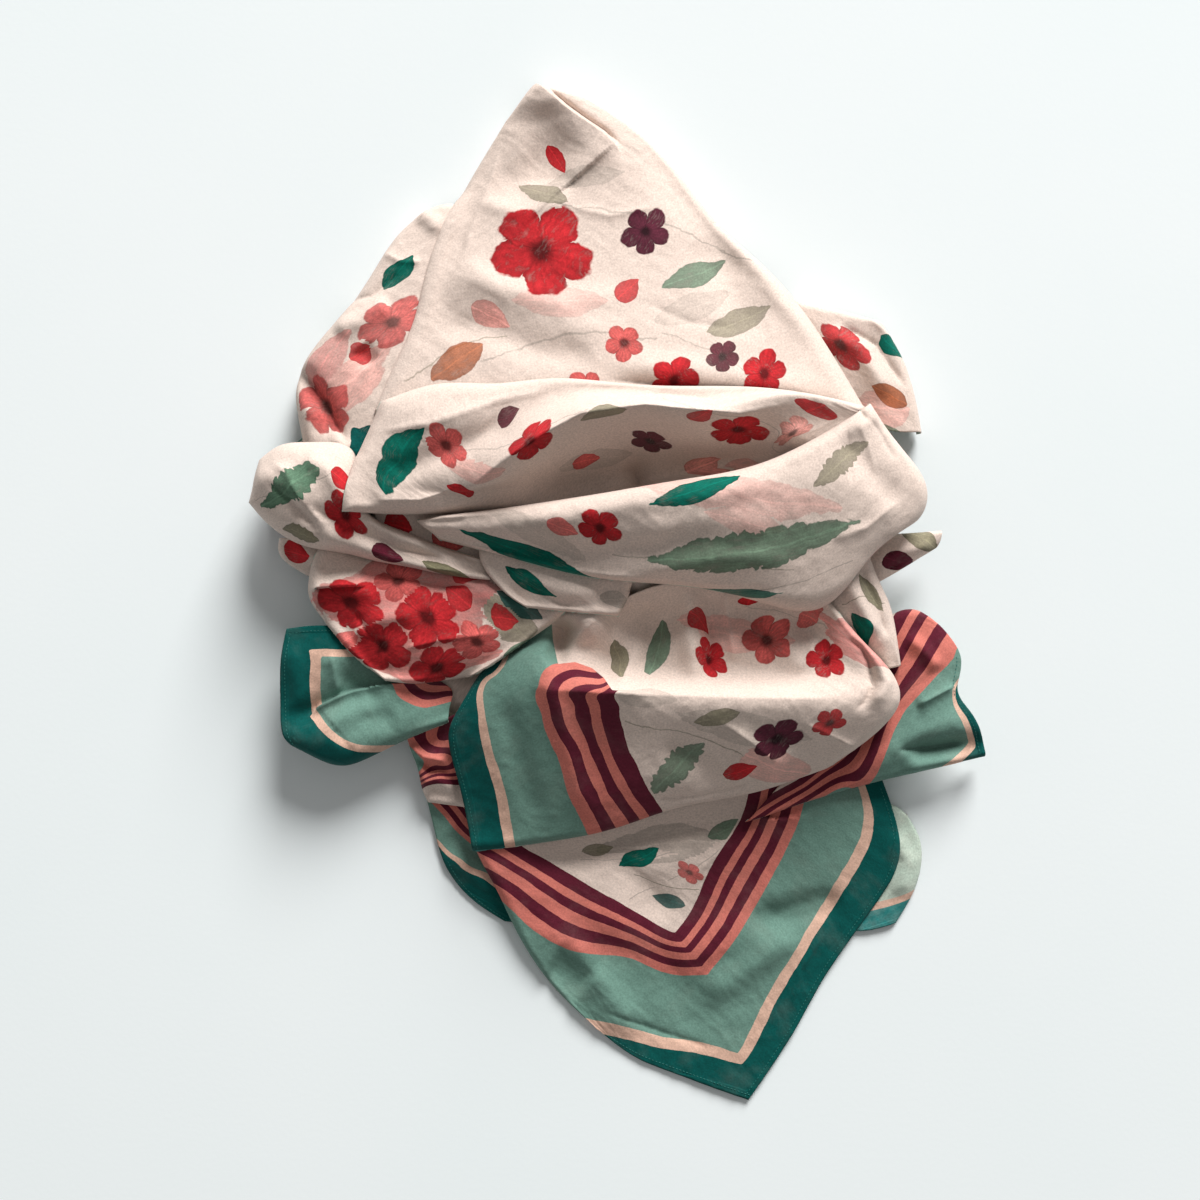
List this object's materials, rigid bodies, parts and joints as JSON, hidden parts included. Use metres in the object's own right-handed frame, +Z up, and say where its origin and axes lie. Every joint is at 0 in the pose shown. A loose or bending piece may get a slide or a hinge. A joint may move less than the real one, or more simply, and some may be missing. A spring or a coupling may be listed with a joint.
{
  "type": "sarong dropped in a heap",
  "caption": "Light printed sarong dropped in a loose rounded heap: soft rolls and folded edges over hidden layers, with one border corner spread flat in front.",
  "frame": {"origin": "middle of the heap's underside, on the surface it lies on", "axes": "+Z up, +Y towards the peak at the back of the heap, +X to the right seen from its front corner"},
  "size_m": [0.4772, 0.6654, 0.0881],
  "materials": {
    "cloth_field": "light plain weave, matt with a soft sheen, floral print on cream",
    "cloth_border": "the same weave printed with a striped border in teal, cream, sage, salmon and burgundy",
    "cloth_reverse": "wrong side of the cloth, the print showing through paler"
  },
  "bodies": {
    "root": {"heap_core": "cloth_field", "left_under": "cloth_border", "turned_corner": "cloth_reverse", "front_corner": "cloth_border", "left_ruffle": "cloth_border", "right_lobe": "cloth_border", "left_corner": "cloth_border", "back_right": "cloth_field", "right_wing": "cloth_field", "right_inner": "cloth_field", "recess": "cloth_field", "front_cup": "cloth_border", "tucked_edge": "cloth_field", "left_panel": "cloth_field", "back_left": "cloth_field", "left_pouch": "cloth_field", "under_petal": "cloth_field", "peak": "cloth_field", "upper_swag": "cloth_field", "front_roll": "cloth_field"}
  },
  "joints": []
}
